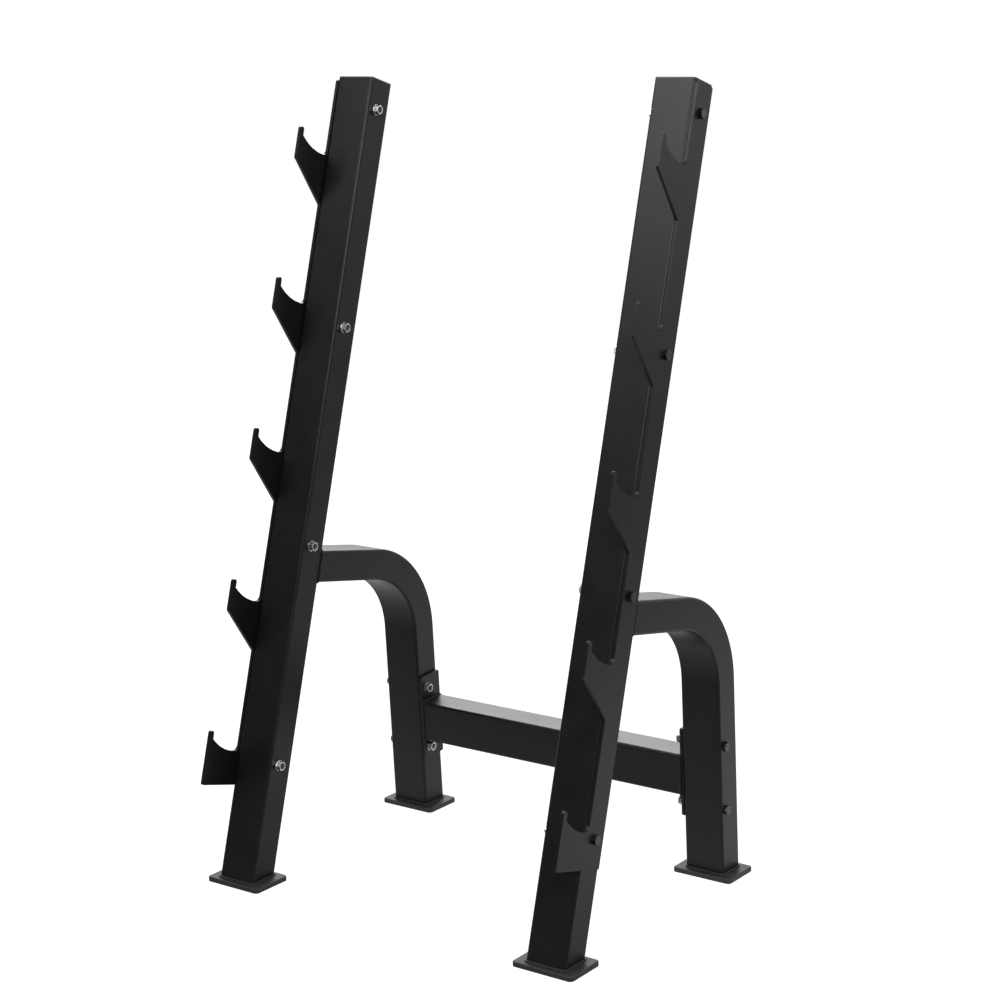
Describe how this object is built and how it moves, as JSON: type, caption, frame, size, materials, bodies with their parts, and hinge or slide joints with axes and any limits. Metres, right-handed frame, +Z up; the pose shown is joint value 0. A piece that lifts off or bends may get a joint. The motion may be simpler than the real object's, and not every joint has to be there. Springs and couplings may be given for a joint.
{
  "type": "barbell storage rack",
  "caption": "Free-standing barbell storage rack: leaning uprights with saw-tooth hook plates on their outer sides, bent rear legs and a low crossmember.",
  "frame": {"origin": "on the floor, in the middle of the rack's bounding box", "axes": "+Z up, the hooks face -Y, +X to the right of someone who stands in front of the hooks"},
  "size_m": [0.81, 0.6348, 1.458],
  "materials": {
    "black_powder_coat": "satin black powder coat with a fine texture",
    "cap_plastic": "moulded black plastic",
    "boot_rubber": "moulded black rubber",
    "black_bolt_steel": "black oxide",
    "zinc_plated_steel": "bright zinc plating"
  },
  "bodies": {
    "root": {"upright_left": "black_powder_coat", "upright_cap_left": "cap_plastic", "hook_plate_left": "black_powder_coat", "rear_leg_left": "black_powder_coat", "crossmember_bracket_left": "black_powder_coat", "boot_front_left": "boot_rubber", "boot_rear_left": "boot_rubber", "hook_left_1_bolt": "black_bolt_steel", "hook_left_1_washer": "zinc_plated_steel", "hook_left_1_nut": "zinc_plated_steel", "hook_left_2_bolt": "black_bolt_steel", "hook_left_2_washer": "zinc_plated_steel", "hook_left_2_nut": "zinc_plated_steel", "hook_left_3_bolt": "black_bolt_steel", "hook_left_3_washer": "zinc_plated_steel", "hook_left_3_nut": "zinc_plated_steel", "hook_left_4_bolt": "black_bolt_steel", "hook_left_4_washer": "zinc_plated_steel", "hook_left_4_nut": "zinc_plated_steel", "bracket_left_1_bolt": "black_bolt_steel", "bracket_left_1_washer": "zinc_plated_steel", "bracket_left_1_nut": "zinc_plated_steel", "bracket_left_2_bolt": "black_bolt_steel", "bracket_left_2_washer": "zinc_plated_steel", "bracket_left_2_nut": "zinc_plated_steel", "upright_right": "black_powder_coat", "upright_cap_right": "cap_plastic", "hook_plate_right": "black_powder_coat", "rear_leg_right": "black_powder_coat", "crossmember_bracket_right": "black_powder_coat", "boot_front_right": "boot_rubber", "boot_rear_right": "boot_rubber", "hook_right_1_bolt": "black_bolt_steel", "hook_right_1_washer": "zinc_plated_steel", "hook_right_1_nut": "zinc_plated_steel", "hook_right_2_bolt": "black_bolt_steel", "hook_right_2_washer": "zinc_plated_steel", "hook_right_2_nut": "zinc_plated_steel", "hook_right_3_bolt": "black_bolt_steel", "hook_right_3_washer": "zinc_plated_steel", "hook_right_3_nut": "zinc_plated_steel", "hook_right_4_bolt": "black_bolt_steel", "hook_right_4_washer": "zinc_plated_steel", "hook_right_4_nut": "zinc_plated_steel", "bracket_right_1_bolt": "black_bolt_steel", "bracket_right_1_washer": "zinc_plated_steel", "bracket_right_1_nut": "zinc_plated_steel", "bracket_right_2_bolt": "black_bolt_steel", "bracket_right_2_washer": "zinc_plated_steel", "bracket_right_2_nut": "zinc_plated_steel", "crossmember": "black_powder_coat"}
  },
  "joints": []
}
